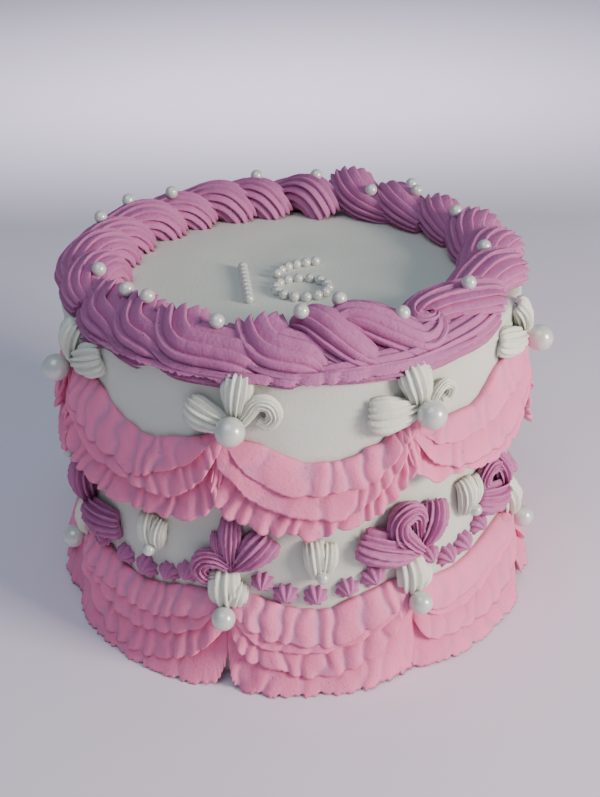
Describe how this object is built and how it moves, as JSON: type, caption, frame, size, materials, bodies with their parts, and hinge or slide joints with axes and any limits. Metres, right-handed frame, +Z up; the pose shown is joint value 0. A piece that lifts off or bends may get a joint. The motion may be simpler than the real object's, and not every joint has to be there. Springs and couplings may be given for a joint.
{
  "type": "decorated round buttercream cake",
  "caption": "Tall round layer cake with a rope border, two tiers of ruffled swags, piped shells and sugar pearls.",
  "frame": {"origin": "centre of the cake's flat underside", "axes": "+Z up along the axis of the round wall, -Y towards the front that the picture shows, +X to its right"},
  "size_m": [0.2402, 0.2399, 0.1786],
  "materials": {
    "ivory_buttercream": "satin",
    "white_buttercream": "satin",
    "mauve_buttercream": "satin",
    "pink_buttercream": "satin",
    "sugar_pearl": "pearl"
  },
  "bodies": {
    "root": {"cake_body": "ivory_buttercream", "top_border": "mauve_buttercream", "upper_swag_1": "pink_buttercream", "lower_swag_1": "pink_buttercream", "upper_shells_1": "white_buttercream", "mauve_shells_1": "mauve_buttercream", "lower_shell_1": "white_buttercream", "upper_pearl_1": "sugar_pearl", "lower_pearl_1": "sugar_pearl", "upper_swag_2": "pink_buttercream", "lower_swag_2": "pink_buttercream", "upper_shells_2": "white_buttercream", "mauve_shells_2": "mauve_buttercream", "lower_shell_2": "white_buttercream", "upper_pearl_2": "sugar_pearl", "lower_pearl_2": "sugar_pearl", "upper_swag_3": "pink_buttercream", "lower_swag_3": "pink_buttercream", "upper_shells_3": "white_buttercream", "mauve_shells_3": "mauve_buttercream", "lower_shell_3": "white_buttercream", "upper_pearl_3": "sugar_pearl", "lower_pearl_3": "sugar_pearl", "upper_swag_4": "pink_buttercream", "lower_swag_4": "pink_buttercream", "upper_shells_4": "white_buttercream", "mauve_shells_4": "mauve_buttercream", "lower_shell_4": "white_buttercream", "upper_pearl_4": "sugar_pearl", "lower_pearl_4": "sugar_pearl", "upper_swag_5": "pink_buttercream", "lower_swag_5": "pink_buttercream", "upper_shells_5": "white_buttercream", "mauve_shells_5": "mauve_buttercream", "lower_shell_5": "white_buttercream", "upper_pearl_5": "sugar_pearl", "lower_pearl_5": "sugar_pearl", "upper_swag_6": "pink_buttercream", "lower_swag_6": "pink_buttercream", "upper_shells_6": "white_buttercream", "mauve_shells_6": "mauve_buttercream", "lower_shell_6": "white_buttercream", "upper_pearl_6": "sugar_pearl", "lower_pearl_6": "sugar_pearl", "upper_swag_7": "pink_buttercream", "lower_swag_7": "pink_buttercream", "upper_shells_7": "white_buttercream", "mauve_shells_7": "mauve_buttercream", "lower_shell_7": "white_buttercream", "upper_pearl_7": "sugar_pearl", "lower_pearl_7": "sugar_pearl", "upper_swag_8": "pink_buttercream", "lower_swag_8": "pink_buttercream", "upper_shells_8": "white_buttercream", "mauve_shells_8": "mauve_buttercream", "lower_shell_8": "white_buttercream", "upper_pearl_8": "sugar_pearl", "lower_pearl_8": "sugar_pearl"}
  },
  "joints": []
}
